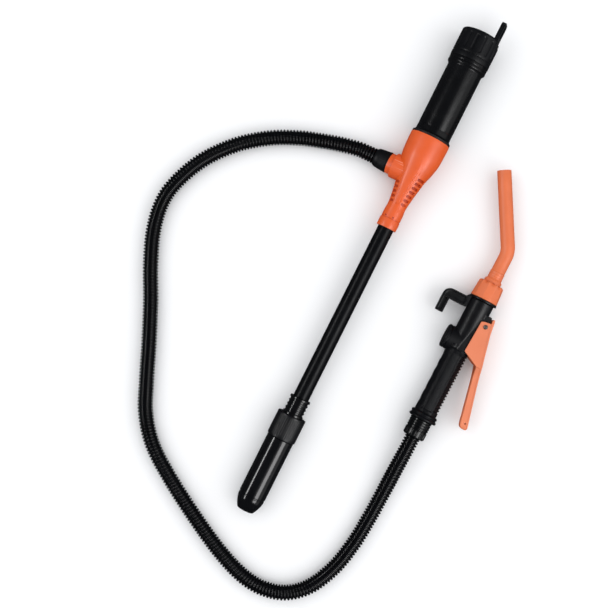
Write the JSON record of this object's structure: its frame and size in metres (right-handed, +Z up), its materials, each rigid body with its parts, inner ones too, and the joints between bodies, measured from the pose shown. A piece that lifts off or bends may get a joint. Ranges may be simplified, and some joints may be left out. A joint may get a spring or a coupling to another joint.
{
  "type": "fluid transfer pump",
  "caption": "Battery fluid transfer pump: long suction tube with a motor head, ribbed hose and a trigger nozzle with a bent spout and a rest hook.",
  "frame": {"origin": "on the surface that the part lies on, under the centre of the box round the pump and the nozzle, without the hose", "axes": "+Z up from the surface; the pump lies along Y with its battery cap towards +Y and its inlet towards -Y; the nozzle lies beside it on the +X side and the hose loops out on the -X side"},
  "size_m": [0.4793, 0.7765, 0.0533],
  "materials": {
    "satin_black": "satin moulded plastic, blue-black",
    "gloss_black": "polished moulded plastic",
    "hose_black": "glossy ribbed flexible plastic",
    "rubber": "matt soft rubber",
    "orange": "semi-gloss moulded plastic",
    "nozzle_orange": "semi-gloss moulded plastic, lighter",
    "white_plastic": "natural white moulded plastic",
    "steel": "plain bright steel",
    "brass": "bright brass",
    "cell_wrap": "printed-free film over a metal can",
    "motor_metal": "plated motor can"
  },
  "bodies": {
    "pump": {"cap_seal": "rubber", "battery_tube": "gloss_black", "tube_seal_ring": "rubber", "battery_cell_1": "cell_wrap", "battery_cell_2": "cell_wrap", "battery_spring": "steel", "lower_contact": "brass", "housing_front": "orange", "housing_rear": "orange", "housing_screw_1": "steel", "housing_screw_2": "steel", "housing_screw_3": "steel", "housing_screw_4": "steel", "outlet_manifold": "white_plastic", "cable_grommet": "rubber", "hose_cuff": "rubber", "hose": "hose_black", "suction_tube": "satin_black", "motor_cable": "rubber", "tube_coupling": "gloss_black", "casing_collar": "satin_black", "casing_gasket": "rubber", "pump_casing": "gloss_black", "motor_can": "white_plastic", "motor": "motor_metal", "shaft_seal": "rubber", "inlet_strainer": "satin_black", "nozzle_body": "satin_black", "handle_grip": "satin_black", "hose_nut": "satin_black", "hook_bracket": "satin_black", "valve_cap": "satin_black", "valve_spring": "steel", "spout": "nozzle_orange", "spout_nut": "nozzle_orange", "spout_seal": "rubber", "trigger_pin": "steel"},
    "rotor": {"motor_shaft": "steel", "impeller": "white_plastic"},
    "cap_carrier": {"contact_carrier": "white_plastic", "upper_contact": "brass"},
    "cap": {"battery_cap": "satin_black", "hanging_loop": "satin_black", "switch_body": "rubber"},
    "button": {"power_button": "rubber"},
    "trigger": {"trigger_lever": "nozzle_orange"},
    "valve": {"valve_spool": "brass"}
  },
  "joints": [
    {"name": "rotor_spin", "type": "hinge", "parent": "pump", "child": "rotor", "pos_m": [-0.07655, -0.31201, 0.01758], "axis": [0, -0.9999, -0.017], "continuous": true},
    {"name": "cap_lift", "type": "slide", "parent": "pump", "child": "cap_carrier", "axis": [0, 0.9999, 0.017], "range_m": [0, 0.012]},
    {"name": "cap_twist", "type": "hinge", "parent": "cap_carrier", "child": "cap", "pos_m": [-0.07655, 0.28111, 0.02767], "axis": [0, 0.9999, 0.017], "range_deg": [0, 1080]},
    {"name": "button_press", "type": "slide", "parent": "cap", "child": "button", "axis": [0, -0.9999, -0.017], "range_m": [0, 0.0015], "stiffness_N_per_m": 800},
    {"name": "trigger_squeeze", "type": "hinge", "parent": "pump", "child": "trigger", "pos_m": [0.08904, -0.00501, 0.0183], "axis": [0, 0, -1], "range_deg": [0, 12.5], "stiffness_Nm_per_rad": 2},
    {"name": "valve_stroke", "type": "slide", "parent": "pump", "child": "valve", "axis": [-0.9999, 0.0137, 0], "range_m": [0, 0.0071], "deforming": ["valve_spring"]}
  ],
  "couplings": [
    {"joint": "cap_lift", "follows": "cap_twist", "m_per_rad": 0.00063662},
    {"joint": "valve_stroke", "follows": "trigger_squeeze", "m_per_rad": 0.032}
  ]
}
